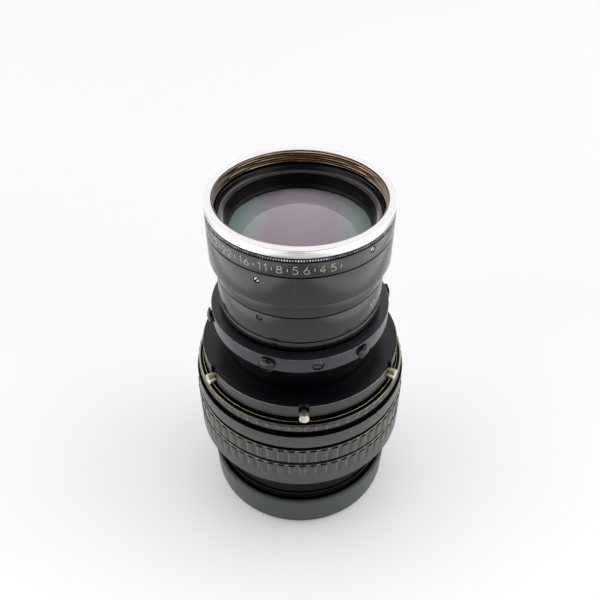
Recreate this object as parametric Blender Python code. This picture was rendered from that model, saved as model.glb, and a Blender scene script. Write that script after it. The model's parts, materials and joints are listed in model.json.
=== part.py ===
"""Lens on a turning focus mount: every piece of it as its own closed solid.

All sizes below are in millimetres and are turned into metres where a mesh is made.
The lens axis is +Z, the front of the lens is up, and the rear cap's underside lies on z = 0.
An azimuth is measured from -Y towards +X, seen from above.
"""
import math

import bmesh
import bpy
from mathutils import Matrix, Vector

MM = 0.001
GAP = 0.3
SHELL_SIDES = 32
GLASS_SIDES = 24
SCREW_SIDES = 12
CUT_MARGIN = 2.0

# Heights of the visible steps, from the bottom of the cap to the top of the front ring.
CAP_TOP = 15.7
MOUNT_BOTTOM = 3.5
MOUNT_LIP = (17.9, 19.4)
MOUNT_SHOULDER = 33.0
BARREL_TOP = 63.0
CHANNEL_LOW = 34.3
BEARING = (35.6, 36.5)
GRIP = (33.9, 54.3)
GRIP_GROOVE = (46.1, 47.9)
GROOVE_BEVEL = 0.2
BAND = (56.1, 62.0)
FRONT_GRIP = (64.1, 67.0)
SLEEVE_TOP = 67.6
CARRIAGE_BOTTOM = 37.2
FLANGE = (69.3, 74.7)
PIN_HEIGHT = 71.0
COLLAR_TOP = 90.6
CLAMP = (86.6, 92.7)
THUMB_HEIGHT = 89.5
NECK_BOTTOM = 62.0
SHOULDER = (92.8, 97.4)
APERTURE = (97.7, 108.1)
SCALE = (108.4, 114.4)
FRONT_BARREL = (114.7, 126.25)
BARREL_LEDGE = 116.0
NAME_BAND = (126.55, 132.0)
KNURL = (132.3, 133.2)
FRONT_RING = (133.5, 136.3)

# Radii.
CAP_R = 36.9
CAP_BASE_R = 36.4
CAP_BEVEL = 0.8
CAP_WALL = 1.6
CAP_FLOOR = 2.0
MOUNT_R = 34.6
MOUNT_LIP_R = 35.0
THROAT_R = 31.5
GUIDE_R = 33.3
CHANNEL_R = 33.6
CARRIAGE_R = (33.7, 34.9)
SLEEVE_R = (35.3, 37.5)
GRIP_R = (37.8, 40.6)
GROOVE_R = 39.9
BAND_R = 40.1
FRONT_GRIP_R = 39.3
BAND_LIP_R = 38.7
FLANGE_R = 36.9
PIN_SEAT_R = 35.7
NECK_R = 26.6
NECK_BORE = 24.6
COLLAR_R = (27.1, 28.1)
CLAMP_R = (28.4, 32.2)
CORE_R = (25.3, 27.3)
RING_BORE = 27.6
RING_R = 29.0
BIG_R = 31.1
BARREL_BORE = 28.8
NAME_BORE = 29.4
FRONT_RING_R = (28.0, 31.0)
FRONT_SKIRT = 2.0

# Outlines of the rear barrel's shoulder, the two cells and the trim ring, as (radius, height).
SHOULDER_CURVE = [(27.7, 93.2), (28.6, 93.8), (29.0, 94.9)]
FRONT_CELL = [(22.6, 108.4), (25.0, 108.4), (25.0, 116.3), (28.5, 116.3),
              (28.5, 123.4), (24.8, 123.4), (24.8, 118.5), (22.6, 118.5)]
TRIM_RING = [(23.9, 123.9), (28.6, 123.9), (28.6, 131.2), (27.4, 131.2),
             (27.3, 129.9), (26.9, 129.1), (25.2, 129.1), (24.4, 125.0)]
REAR_CELL = [(20.5, 76.0), (24.3, 76.0), (24.3, 98.5), (21.9, 98.5), (21.9, 77.5), (20.5, 77.5)]

# Glass: radius, then the height of the lower face at its edge and centre, then of the upper face.
FRONT_ELEMENT = (24.5, 118.9, 120.5, 123.3, 128.5)
FRONT_DOUBLET = (22.3, 109.6, 112.5, 115.5, 118.0)
REAR_ELEMENT = (21.6, 78.6, 74.8, 82.5, 81.3)
REAR_DOUBLET = (21.6, 86.4, 83.9, 94.0, 90.5)

# Flat rings inside the barrels: bore, outer radius, bottom, top.
REAR_SPACER = (20.2, 21.6, 82.9, 86.0)
REAR_RETAINER = (19.5, 21.6, 94.4, 96.0)
IRIS_BASE = (17.0, 25.0, 101.0, 102.0)
IRIS_RETAINER = (18.0, 25.0, 106.8, 107.8)
IRIS_CAM = (17.6, 24.8, 105.3, 106.5)

# Moving parts.
KEY_WIDTH = 3.4
KEY_THICK = 1.1
KEY_LENGTH = 11.0
KEY_HEIGHT = 54.5
KEY_SLOT = KEY_WIDTH + 2 * GAP
KEY_SLOT_LENGTH = 24.0
THUMB_COUNT = 6
THUMB_FIRST = -19.0
THUMB_TIP = 26.9
THUMB_SHANK_R = 1.45
THUMB_HEAD_R = 2.4
THUMB_HEAD_LENGTH = 1.6
THUMB_RIM = 0.5
THUMB_CROWN = 0.4
COLLAR_NOTCH_WIDTH = 4.4
COLLAR_NOTCH_LOW = 87.6
PIN_COUNT = 6
PIN_FIRST = 2.0
PIN_R = 1.7
PIN_STUD_R = 1.0
PIN_START = 31.8
PIN_REACH = 39.4
SET_SCREW_R = 1.7
SET_SCREW_FIRST = 11.0
SET_SCREW_COUNT = 3
SMALL_SCREW_R = 0.85
SMALL_SCREW_SINK = 0.1
SLOT_WIDTH = 0.35
NAME_SCREW = (45.0, 130.3)
BARREL_SCREW = (-25.0, 123.5)
BARREL_SCREW_START = 29.1
DRIVE_AZIMUTH = -27.0
DRIVE_HEIGHT = 105.9
DRIVE_SLOT_SPARE = 4.0
CAM_NOTCH = 2.0
APERTURE_TURN = 60.0
BLADE_COUNT = 6
BLADE_PIVOT_R = 20.9
BLADE_EDGE = (17.4, 24.4)
BLADE_SPAN = 118.0
BLADE_TIP = 6.0
BLADE_THICK = 0.2
BLADE_PITCH = 0.45
BLADE_LOW = 102.4
STOP_BLOCK = (142.0, 218.0)
STOP_PIN = (221.0, 227.0)
ARC_FACET = 12.0

# Colour, roughness and metallic value of each finish.
BLACK = ((0.035, 0.037, 0.042), 0.38, 0.6)
MATT_BLACK = ((0.010, 0.010, 0.014), 0.70, 0.2)
GREY_BLACK = ((0.075, 0.080, 0.078), 0.42, 0.6)
CHROME = ((0.80, 0.79, 0.79), 0.22, 1.0)
BRASS = ((0.46, 0.33, 0.16), 0.35, 1.0)
NICKEL = ((0.52, 0.50, 0.42), 0.35, 1.0)
STEEL = ((0.30, 0.29, 0.28), 0.35, 1.0)
CAP_PLASTIC = ((0.070, 0.085, 0.085), 0.50, 0.0)
GLASS = ((0.62, 0.58, 0.62), 0.03, 0.0)


def clear_scene():
    for thing in list(bpy.data.objects):
        bpy.data.objects.remove(thing, do_unlink=True)


def finish_with(thing, finish):
    colour, roughness, metallic = finish
    material = bpy.data.materials.new(thing.name + "_finish")
    material.use_nodes = True
    shader = material.node_tree.nodes["Principled BSDF"]
    shader.inputs["Base Color"].default_value = (*colour, 1.0)
    shader.inputs["Roughness"].default_value = roughness
    shader.inputs["Metallic"].default_value = metallic
    material.diffuse_color = (*colour, 1.0)
    thing.data.materials.append(material)


def new_object(name, bm, finish, parent, location=(0, 0, 0), rotation=(0, 0, 0)):
    """Close off a bmesh as a named object; its location is in millimetres."""
    bmesh.ops.remove_doubles(bm, verts=bm.verts, dist=1e-7)
    bmesh.ops.recalc_face_normals(bm, faces=bm.faces)
    mesh = bpy.data.meshes.new(name)
    bm.to_mesh(mesh)
    bm.free()
    mesh.shade_smooth()
    mesh.set_sharp_from_angle(angle=math.radians(35))
    thing = bpy.data.objects.new(name, mesh)
    bpy.context.collection.objects.link(thing)
    thing.location = Vector(location) * MM
    thing.rotation_euler = rotation
    thing.parent = parent
    if finish is not None:
        finish_with(thing, finish)
    return thing


def axis_empty(name, parent=None, location=(0, 0, 0)):
    empty = bpy.data.objects.new(name, None)
    empty.empty_display_size = 0.01
    empty.location = Vector(location) * MM
    empty.parent = parent
    bpy.context.collection.objects.link(empty)
    return empty


def spun(profile, sides, sweep=360.0):
    """Turn a closed (radius, height) outline about Z, right round or through part of a circle."""
    bm = bmesh.new()
    verts = [bm.verts.new((radius * MM, 0, height * MM)) for radius, height in profile]
    edges = [bm.edges.new((verts[i], verts[(i + 1) % len(verts)])) for i in range(len(verts))]
    whole = sweep >= 360.0
    if not whole:
        bm.faces.new(verts)
    geometry = verts + edges + list(bm.faces)
    bmesh.ops.spin(bm, geom=geometry, axis=(0, 0, 1), cent=(0, 0, 0), steps=sides,
                   angle=math.radians(sweep), use_merge=whole)
    bmesh.ops.remove_doubles(bm, verts=bm.verts, dist=1e-7)
    loose = [edge for edge in bm.edges if not edge.link_faces]
    bmesh.ops.delete(bm, geom=loose, context="EDGES")
    return bm


def turned(name, profile, finish, parent, sides=SHELL_SIDES):
    """A piece turned about the lens axis, with its origin on the axis at its lowest point."""
    base = min(height for _, height in profile)
    lowered = [(radius, height - base) for radius, height in profile]
    return new_object(name, spun(lowered, sides), finish, parent, location=(0, 0, base))


def tube(name, inner, outer, low, high, finish, parent):
    outline = [(inner, low), (outer, low), (outer, high), (inner, high)]
    return turned(name, outline, finish, parent)


def outward(azimuth):
    """Rotation that points a local +Z outwards at an azimuth."""
    return (0, math.radians(90), math.radians(azimuth - 90))


def around(radius, azimuth, height):
    angle = math.radians(azimuth - 90)
    return (radius * math.cos(angle), radius * math.sin(angle), height)


def radial(name, profile, azimuth, start, height, finish, parent, sides=SCREW_SIDES):
    """A piece turned about a horizontal axis that points outwards; its profile starts at start."""
    return new_object(name, spun(profile, sides), finish, parent,
                      location=around(start, azimuth, height), rotation=outward(azimuth))


def cut(thing, cutter):
    cutter.hide_render = True
    cutter.display_type = "WIRE"
    modifier = thing.modifiers.new(cutter.name, "BOOLEAN")
    modifier.operation = "DIFFERENCE"
    modifier.solver = "EXACT"
    modifier.object = cutter


def box_cutter(name, size, location, turn=0.0):
    bm = bmesh.new()
    bmesh.ops.create_cube(bm, size=1.0, matrix=Matrix.Diagonal((*[side * MM for side in size], 1.0)))
    return new_object(name, bm, None, None, location=location, rotation=(0, 0, math.radians(turn)))


def rod_cutter(name, radius, azimuth, start, length, height):
    """A round cutter along a horizontal line from start outwards."""
    outline = [(0, 0), (radius, 0), (radius, length), (0, length)]
    return radial(name, outline, azimuth, start, height, None, None)


def slotted_screw(name, radius, azimuth, start, stop, height, parent, finish):
    """A headless screw lying outwards; the slot in its outer end is half its radius deep."""
    length = stop - start
    outline = [(0, 0), (radius, 0), (radius, length), (0, length)]
    screw = radial(name, outline, azimuth, start, height, finish, parent)
    slot_size = (radius, 3 * radius, SLOT_WIDTH * radius)
    slot = box_cutter(name + "_slot", slot_size, around(stop, azimuth, height), azimuth - 90)
    cut(screw, slot)
    return screw


def dome(radius, edge, centre, steps=3):
    """Points of a spherical face from its edge to the axis."""
    rise = centre - edge
    curve = (radius ** 2 + rise ** 2) / (2 * abs(rise))
    sign = math.copysign(1.0, rise)
    points = []
    for i in range(steps + 1):
        r = radius * (1 - i / steps)
        points.append((r, centre - sign * (curve - math.sqrt(curve ** 2 - r ** 2))))
    return points


def glass_element(name, radius, low_edge, low_centre, high_edge, high_centre, parent):
    low = dome(radius, low_edge, low_centre)
    high = dome(radius, high_edge, high_centre)
    turned(name, list(reversed(low)) + high, GLASS, parent, sides=GLASS_SIDES)


def make_cap(parent):
    inside = CAP_R - CAP_WALL
    turned("rear_cap", [(0, 0), (CAP_BASE_R - CAP_BEVEL, 0), (CAP_BASE_R, CAP_BEVEL), (CAP_R, CAP_TOP),
                        (inside, CAP_TOP), (inside, CAP_FLOOR), (0, CAP_FLOOR)], CAP_PLASTIC, parent)


def make_fixed_mount(parent):
    lip_low, lip_high = MOUNT_LIP
    turned("rear_mount_ring", [(THROAT_R, MOUNT_BOTTOM), (MOUNT_R, MOUNT_BOTTOM), (MOUNT_R, lip_low),
                               (MOUNT_LIP_R, lip_low), (MOUNT_LIP_R, lip_high),
                               (THROAT_R, lip_high)], BLACK, parent)
    bearing_low, bearing_high = BEARING
    turned("fixed_barrel", [(THROAT_R, lip_high + GAP), (MOUNT_R, lip_high + GAP),
                            (MOUNT_R, MOUNT_SHOULDER), (CHANNEL_R, GRIP[0]), (CHANNEL_R, bearing_low),
                            (SLEEVE_R[1] - GAP, bearing_low), (SLEEVE_R[1] - GAP, bearing_high),
                            (GUIDE_R, bearing_high), (GUIDE_R, BARREL_TOP),
                            (THROAT_R, BARREL_TOP)], BLACK, parent)
    for side, azimuth in (("right", 90), ("left", -90)):
        bm = bmesh.new()
        key_size = [length * MM for length in (KEY_THICK, KEY_WIDTH, KEY_LENGTH)]
        bmesh.ops.create_cube(bm, size=1.0, matrix=Matrix.Diagonal((*key_size, 1.0)))
        new_object("guide_key_" + side, bm, BRASS, parent,
                   location=around(GUIDE_R + GAP + KEY_THICK / 2, azimuth, KEY_HEIGHT),
                   rotation=(0, 0, math.radians(azimuth - 90)))
    arc_piece("focus_stop_block", STOP_BLOCK, STEEL, parent)


def arc_piece(name, azimuths, finish, parent):
    """A short bar bent round the barrel, in the channel inside the retaining ring."""
    inner = CHANNEL_R + GAP
    outer = MOUNT_LIP_R - GAP
    height = BEARING[0] - GAP - CHANNEL_LOW
    start, stop = azimuths
    steps = max(1, round((stop - start) / ARC_FACET))
    outline = [(inner, 0), (outer, 0), (outer, height), (inner, height)]
    new_object(name, spun(outline, steps, sweep=stop - start), finish, parent,
               location=(0, 0, CHANNEL_LOW), rotation=(0, 0, math.radians(start - 90)))


def make_focus_ring(parent):
    tube("focus_retaining_ring", MOUNT_LIP_R, SLEEVE_R[1], CHANNEL_LOW, BEARING[0] - GAP, BLACK,
         parent)
    tube("brass_focus_sleeve", *SLEEVE_R, BEARING[1] + GAP, SLEEVE_TOP, BRASS, parent)
    bore, rim = GRIP_R
    low, high = GRIP
    groove_low, groove_high = GRIP_GROOVE
    turned("focus_grip", [(bore, low), (rim, low), (rim, groove_low), (GROOVE_R, groove_low + GROOVE_BEVEL),
                          (GROOVE_R, groove_high - GROOVE_BEVEL), (rim, groove_high), (rim, high),
                          (bore, high)], GREY_BLACK, parent)
    low, high = BAND
    turned("focus_band", [(bore, GRIP[1] + GAP), (BAND_LIP_R, GRIP[1] + GAP), (BAND_LIP_R, low),
                          (BAND_R, low), (BAND_R, high), (BAND_LIP_R, high),
                          (BAND_LIP_R, FRONT_GRIP[0] - GAP), (bore, FRONT_GRIP[0] - GAP)],
           GREY_BLACK, parent)
    tube("focus_front_ring", bore, FRONT_GRIP_R, *FRONT_GRIP, GREY_BLACK, parent)
    arc_piece("focus_stop_pin", STOP_PIN, STEEL, parent)


def make_carriage(parent):
    carriage = tube("carriage_tube", *CARRIAGE_R, CARRIAGE_BOTTOM, FLANGE[0] - GAP, BRASS, parent)
    slot_size = (2 * CARRIAGE_R[1] + CUT_MARGIN, KEY_SLOT, KEY_SLOT_LENGTH + CUT_MARGIN)
    slot_middle = CARRIAGE_BOTTOM + (KEY_SLOT_LENGTH - CUT_MARGIN) / 2
    cut(carriage, box_cutter("key_slots", slot_size, (0, 0, slot_middle)))
    flange = tube("pin_flange", NECK_R + GAP, FLANGE_R, *FLANGE, MATT_BLACK, parent)
    head = PIN_SEAT_R + GAP - PIN_START
    reach = PIN_REACH - PIN_START
    outline = [(0, 0), (PIN_STUD_R, 0), (PIN_STUD_R, head), (PIN_R, head), (PIN_R, reach), (0, reach)]
    notch_size = (FLANGE_R - PIN_SEAT_R + CUT_MARGIN, 2 * (PIN_R + GAP),
                  FLANGE[1] - FLANGE[0] + 2 * CUT_MARGIN)
    for i in range(PIN_COUNT):
        azimuth = PIN_FIRST + i * 360 / PIN_COUNT
        cut(flange, box_cutter("pin_notch_%d" % (i + 1), notch_size,
                               around(PIN_SEAT_R + notch_size[0] / 2, azimuth, sum(FLANGE) / 2),
                               azimuth - 90))
        cut(flange, rod_cutter("stud_hole_%d" % (i + 1), PIN_STUD_R + GAP, azimuth, PIN_START - GAP,
                               PIN_SEAT_R - PIN_START + CUT_MARGIN, PIN_HEIGHT))
        radial("rim_pin_%d" % (i + 1), outline, azimuth, PIN_START, PIN_HEIGHT, NICKEL, parent)


def make_collar(parent):
    collar = tube("collar_tube", *COLLAR_R, FLANGE[1] + GAP, COLLAR_TOP, MATT_BLACK, parent)
    ring = tube("clamp_ring", *CLAMP_R, *CLAMP, BLACK, parent)
    across = 2 * (CLAMP_R[1] + CUT_MARGIN)
    notch_size = (across, COLLAR_NOTCH_WIDTH, COLLAR_TOP - COLLAR_NOTCH_LOW + CUT_MARGIN)
    notch_middle = (COLLAR_NOTCH_LOW + COLLAR_TOP + CUT_MARGIN) / 2
    for i in range(THUMB_COUNT // 2):
        azimuth = THUMB_FIRST + i * 360 / THUMB_COUNT
        cut(collar, box_cutter("collar_notch_%d" % (i + 1), notch_size, (0, 0, notch_middle),
                               azimuth - 90))
        cut(ring, rod_cutter("thumb_hole_%d" % (i + 1), THUMB_SHANK_R + GAP, azimuth,
                             -across / 2, across, THUMB_HEIGHT))
    for i in range(SET_SCREW_COUNT):
        azimuth = SET_SCREW_FIRST + i * 360 / SET_SCREW_COUNT
        cut(ring, rod_cutter("set_screw_hole_%d" % (i + 1), SET_SCREW_R + GAP, azimuth,
                             CLAMP_R[0] - CUT_MARGIN, CLAMP_R[1] - CLAMP_R[0] + 2 * CUT_MARGIN,
                             THUMB_HEIGHT))
        slotted_screw("clamp_set_screw_%d" % (i + 1), SET_SCREW_R, azimuth, CLAMP_R[0] + GAP,
                      CLAMP_R[1] - GAP, THUMB_HEIGHT, parent, STEEL)


def make_thumb_screws(parent):
    head = CLAMP_R[1] + GAP - THUMB_TIP
    end = head + THUMB_HEAD_LENGTH
    outline = [(0, 0), (THUMB_SHANK_R, 0), (THUMB_SHANK_R, head), (THUMB_HEAD_R, head),
               (THUMB_HEAD_R, end - THUMB_CROWN), (THUMB_HEAD_R - THUMB_RIM, end), (0, end)]
    for i in range(THUMB_COUNT):
        azimuth = THUMB_FIRST + i * 360 / THUMB_COUNT
        radial("thumb_screw_%d" % (i + 1), outline, azimuth, THUMB_TIP, THUMB_HEIGHT, MATT_BLACK,
               parent)


def make_lens_barrels(parent):
    low, high = SHOULDER
    turned("rear_barrel", [(NECK_BORE, NECK_BOTTOM), (NECK_R, NECK_BOTTOM), (NECK_R, low),
                           *SHOULDER_CURVE, (RING_R, high), (NECK_BORE, high)], BLACK, parent)
    core = tube("core_tube", *CORE_R, APERTURE[0], BARREL_LEDGE, BLACK, parent)
    inner = CORE_R[0] - CUT_MARGIN
    outer = CORE_R[1] + CUT_MARGIN
    half = SMALL_SCREW_R + GAP
    outline = [(inner, -half), (outer, -half), (outer, half), (inner, half)]
    sweep = APERTURE_TURN + 2 * DRIVE_SLOT_SPARE
    slot_start = math.radians(DRIVE_AZIMUTH - DRIVE_SLOT_SPARE - 90)
    cut(core, new_object("drive_slot", spun(outline, 6, sweep=sweep), None, None,
                         location=(0, 0, DRIVE_HEIGHT), rotation=(0, 0, slot_start)))
    tube("scale_sleeve", RING_BORE, RING_R, *SCALE, BLACK, parent)
    low, high = FRONT_BARREL
    barrel = turned("front_barrel", [(RING_BORE, low), (BIG_R, low), (BIG_R, high),
                                     (BARREL_BORE, high), (BARREL_BORE, BARREL_LEDGE),
                                     (RING_BORE, BARREL_LEDGE)], BLACK, parent)
    name_band = tube("name_band", NAME_BORE, BIG_R, *NAME_BAND, BLACK, parent)
    tube("knurled_ring", NAME_BORE, BIG_R, *KNURL, MATT_BLACK, parent)
    skirt_r = NAME_BORE - GAP
    thread_r, rim_r = FRONT_RING_R
    low, high = FRONT_RING
    turned("front_ring", [(thread_r, low - FRONT_SKIRT), (skirt_r, low - FRONT_SKIRT), (skirt_r, low),
                          (rim_r, low), (rim_r, high), (thread_r, high)], CHROME, parent)
    for name, ring, place, start in (("name_band_screw", name_band, NAME_SCREW, NAME_BORE + GAP),
                                     ("front_barrel_screw", barrel, BARREL_SCREW, BARREL_SCREW_START)):
        azimuth, height = place
        stop = BIG_R - SMALL_SCREW_SINK
        cut(ring, rod_cutter(name + "_hole", SMALL_SCREW_R + GAP, azimuth, start - CUT_MARGIN,
                             BIG_R - start + 2 * CUT_MARGIN, height))
        slotted_screw(name, SMALL_SCREW_R, azimuth, start, stop, height, parent, STEEL)


def make_front_cell(parent):
    turned("front_cell", FRONT_CELL, BLACK, parent)
    turned("front_trim_ring", TRIM_RING, MATT_BLACK, parent)
    glass_element("front_element", *FRONT_ELEMENT, parent)
    glass_element("front_doublet", *FRONT_DOUBLET, parent)


def make_rear_cell(parent):
    turned("rear_cell", REAR_CELL, BLACK, parent)
    glass_element("rear_element", *REAR_ELEMENT, parent)
    tube("rear_spacer", *REAR_SPACER, MATT_BLACK, parent)
    glass_element("rear_doublet", *REAR_DOUBLET, parent)
    tube("rear_retaining_ring", *REAR_RETAINER, MATT_BLACK, parent)


def make_iris_frame(parent):
    tube("iris_base_plate", *IRIS_BASE, MATT_BLACK, parent)
    tube("iris_retaining_ring", *IRIS_RETAINER, MATT_BLACK, parent)


def make_aperture_ring(parent):
    ring = tube("aperture_ring", RING_BORE, RING_R, *APERTURE, BLACK, parent)
    hole_r = SMALL_SCREW_R + GAP
    cut(ring, rod_cutter("drive_hole", hole_r, DRIVE_AZIMUTH, RING_BORE - CUT_MARGIN,
                         RING_R - RING_BORE + 2 * CUT_MARGIN, DRIVE_HEIGHT))
    cam = tube("iris_cam_ring", *IRIS_CAM, STEEL, parent)
    cam_r = IRIS_CAM[1]
    notch_height = IRIS_CAM[3] - IRIS_CAM[2] + CUT_MARGIN
    cut(cam, box_cutter("cam_notch", (2 * CAM_NOTCH, 2 * hole_r, notch_height),
                        around(cam_r, DRIVE_AZIMUTH, DRIVE_HEIGHT), DRIVE_AZIMUTH - 90))
    slotted_screw("aperture_drive_screw", SMALL_SCREW_R, DRIVE_AZIMUTH, cam_r - CAM_NOTCH + GAP,
                  RING_R - SMALL_SCREW_SINK, DRIVE_HEIGHT, parent, STEEL)


def blade_outline():
    """Outline of one crescent blade about its own pivot, which lies on the crescent's middle line."""
    inner, outer = BLADE_EDGE
    middle = (inner + outer) / 2
    half_width = (outer - inner) / 2
    steps = 8
    points = []
    for i in range(steps + 1):
        angle = math.radians(BLADE_SPAN * i / steps)
        points.append((outer * math.cos(angle), outer * math.sin(angle)))
    tip = math.radians(BLADE_SPAN + BLADE_TIP)
    points.append((middle * math.cos(tip), middle * math.sin(tip)))
    for i in range(steps + 1):
        angle = math.radians(BLADE_SPAN * (1 - i / steps))
        points.append((inner * math.cos(angle), inner * math.sin(angle)))
    for i in range(1, 4):
        turn = math.radians(-45 * i)
        points.append((middle - half_width * math.cos(turn), half_width * math.sin(turn)))
    return [(x - BLADE_PIVOT_R, y) for x, y in points]


def make_blades(parent):
    for i in range(BLADE_COUNT):
        azimuth = i * 360 / BLADE_COUNT
        height = BLADE_LOW + i * BLADE_PITCH
        bm = bmesh.new()
        face = bm.faces.new([bm.verts.new((x * MM, y * MM, 0)) for x, y in blade_outline()])
        raised = bmesh.ops.extrude_face_region(bm, geom=[face])["geom"]
        lifted = [part for part in raised if isinstance(part, bmesh.types.BMVert)]
        bmesh.ops.translate(bm, verts=lifted, vec=(0, 0, BLADE_THICK * MM))
        new_object("iris_blade_%d" % (i + 1), bm, STEEL, parent,
                   location=around(BLADE_PIVOT_R, azimuth, height),
                   rotation=(0, 0, math.radians(azimuth - 90)))


def main():
    clear_scene()
    mount = axis_empty("mount_axis")
    make_fixed_mount(mount)
    make_cap(axis_empty("cap_axis", mount))
    make_focus_ring(axis_empty("focus_axis", mount))
    carriage = axis_empty("carriage_axis", mount)
    make_carriage(carriage)
    make_collar(carriage)
    make_thumb_screws(carriage)
    make_lens_barrels(carriage)
    make_front_cell(carriage)
    make_rear_cell(carriage)
    make_iris_frame(carriage)
    make_aperture_ring(axis_empty("aperture_axis", carriage))
    make_blades(carriage)


main()
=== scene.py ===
"""The lens as it looks: fine turned, fluted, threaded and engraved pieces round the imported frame.

Lengths are in metres in the frame's own axes: the lens axis is +Z and the front of the lens is up.
An azimuth is measured in degrees from -Y towards +X, seen from above.
"""
import json
import math

import bmesh
import bpy
import numpy as np
from mathutils import Matrix, Vector

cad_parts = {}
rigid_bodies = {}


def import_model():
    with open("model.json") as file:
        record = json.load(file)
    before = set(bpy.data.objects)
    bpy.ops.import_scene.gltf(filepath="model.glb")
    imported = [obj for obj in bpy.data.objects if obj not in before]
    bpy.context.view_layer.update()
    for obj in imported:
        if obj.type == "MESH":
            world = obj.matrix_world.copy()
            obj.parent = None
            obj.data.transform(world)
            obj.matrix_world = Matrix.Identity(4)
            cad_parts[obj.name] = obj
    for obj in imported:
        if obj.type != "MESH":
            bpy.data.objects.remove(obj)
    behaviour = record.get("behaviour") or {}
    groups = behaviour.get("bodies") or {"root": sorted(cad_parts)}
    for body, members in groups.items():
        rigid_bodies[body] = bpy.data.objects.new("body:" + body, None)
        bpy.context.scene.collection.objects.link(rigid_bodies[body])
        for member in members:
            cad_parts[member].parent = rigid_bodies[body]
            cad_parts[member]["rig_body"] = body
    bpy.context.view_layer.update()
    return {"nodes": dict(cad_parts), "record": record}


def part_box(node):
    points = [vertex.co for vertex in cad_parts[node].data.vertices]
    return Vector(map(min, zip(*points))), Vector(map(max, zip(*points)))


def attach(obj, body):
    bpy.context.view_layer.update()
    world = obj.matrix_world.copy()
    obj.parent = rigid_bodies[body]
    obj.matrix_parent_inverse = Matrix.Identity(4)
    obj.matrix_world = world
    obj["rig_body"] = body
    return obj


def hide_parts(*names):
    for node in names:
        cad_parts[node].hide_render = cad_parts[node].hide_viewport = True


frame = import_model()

NODES = frame["nodes"]
SLOT_OF = {part["node"]: part["material_slot"] for part in frame["record"]["subparts"]}

MM = 0.001
ROUND_SIDES = 256
SMALL_SIDES = 48
SHARP = math.radians(38)
GAP = 0.3 * MM

# Fluted rims; a pad and a wall are shares of one flute's step round the rim.
FLUTES = 64
FLUTE_DEPTH = 0.42 * MM
FRONT_FLUTE_DEPTH = 0.20 * MM
FLUTE_PAD = 0.46
FLUTE_WALL = 0.13

# The front ring's thread, and the knurled ring.
THREAD_PITCH = 0.86 * MM
THREAD_DEPTH = 0.45 * MM
KNURLS = 236
KNURL_DEPTH = 0.32 * MM
POINTS_PER_KNURL = 4

# Numbers of the rim pins and thumb screws, and of the set screws; a slot's width is a share of
# its screw's radius.
SPOKES = range(1, 7)
SET_SCREWS = range(1, 4)
SLOT_WIDTH = 0.52
WIDE_SLOT = 0.66
NARROW_SLOT = 0.24
DOME_ANGLE = math.radians(45)

# Numerals; azimuths and the gap are in degrees.
NUMBERS = ("45", "32", "22", "16", "11", "8", "5.6", "4.5")
DIGIT_HEIGHT = 2.65 * MM
SMALL_DIGIT = 1.5 * MM
FIRST_NUMBER = -76.0
NUMBER_GAP = 5.9
RING_NUMBERS = (57.0, 148.0)
STROKE = 0.15 * MM

# Distance from the middle, left and right in the view, over which the glass's painted coating reflection
# changes colour.
COAT_REACH = 24 * MM

# The studio: the tent's strength, its dark opening and the glow of the table.
TENT = 1.12
OPENING = 0.08
OPENING_WAY = (0.0, -0.74, 0.67)
EVEN_GLOW = 0.10
SIDE_GLOW = 1.6
FRONT_GLOW = 0.17
TABLE_HALF = 3.0
TABLE_DROP = 0.02 * MM

# The camera, as it was solved from the circles of the lens.
CAMERA_PLACE = (0.0, -0.1802, 0.2484)
CAMERA_TILT = math.radians(48.832)
CAMERA_LENS = 39.26
CAMERA_SENSOR = 36.0


# ---------------- reading the frame

def points_of(node):
    return np.array([vertex.co for vertex in NODES[node].data.vertices], float)


class Turned:
    """Heights and radii of a node that is turned about the lens axis."""

    def __init__(self, node):
        points = points_of(node)
        self.radii = np.hypot(points[:, 0], points[:, 1])
        self.heights = points[:, 2]
        self.low = self.heights.min()
        self.high = self.heights.max()
        self.inner = self.radii.min()
        self.outer = self.radii.max()

    def levels(self):
        """Heights that have points all the way round, so not those of a drilled hole."""
        heights, counts = np.unique(np.round(self.heights, 5), return_counts=True)
        return [height for height, count in zip(heights, counts) if count >= 24]

    def at(self, height):
        """Smallest and largest radius of the points at a height."""
        near = self.radii[abs(self.heights - height) < 0.02 * MM]
        return near.min(), near.max()


class Spoke:
    """A node that is turned about a line pointing outwards from the lens axis."""

    def __init__(self, node):
        points = points_of(node)
        low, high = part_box(node)
        middle = (np.array(low) + np.array(high)) / 2
        self.angle = math.atan2(middle[1], middle[0])
        self.way = np.array((math.cos(self.angle), math.sin(self.angle), 0.0))
        self.height = middle[2]
        along = points @ self.way
        offset = points - np.outer(along, self.way) - np.array((0, 0, self.height))
        spread = np.linalg.norm(offset, axis=1)
        self.start = along.min()
        self.stop = along.max()
        self.radius = spread.max()
        self.shank = spread[along < self.start + 0.1 * MM].max()
        wider = along[spread > 1.05 * self.shank]
        self.step = wider.min() if len(wider) else self.start

    def place(self, radius):
        """Matrix that puts a piece made along +Z on this line, starting at a radius."""
        turn = Matrix.Rotation(self.angle, 4, "Z") @ Matrix.Rotation(math.pi / 2, 4, "Y")
        return Matrix.Translation(Vector(self.way) * radius + Vector((0, 0, self.height))) @ turn


def off_axis(point):
    """Distance of a point from the lens axis."""
    return math.hypot(point.x, point.y)


def span(start, stop, count):
    """Evenly spaced values from start to stop, both included."""
    return [start + (stop - start) * i / (count - 1) for i in range(count)]


# ---------------- making meshes

def put(name, data):
    thing = bpy.data.objects.new(name, data)
    bpy.context.scene.collection.objects.link(thing)
    return thing


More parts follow.
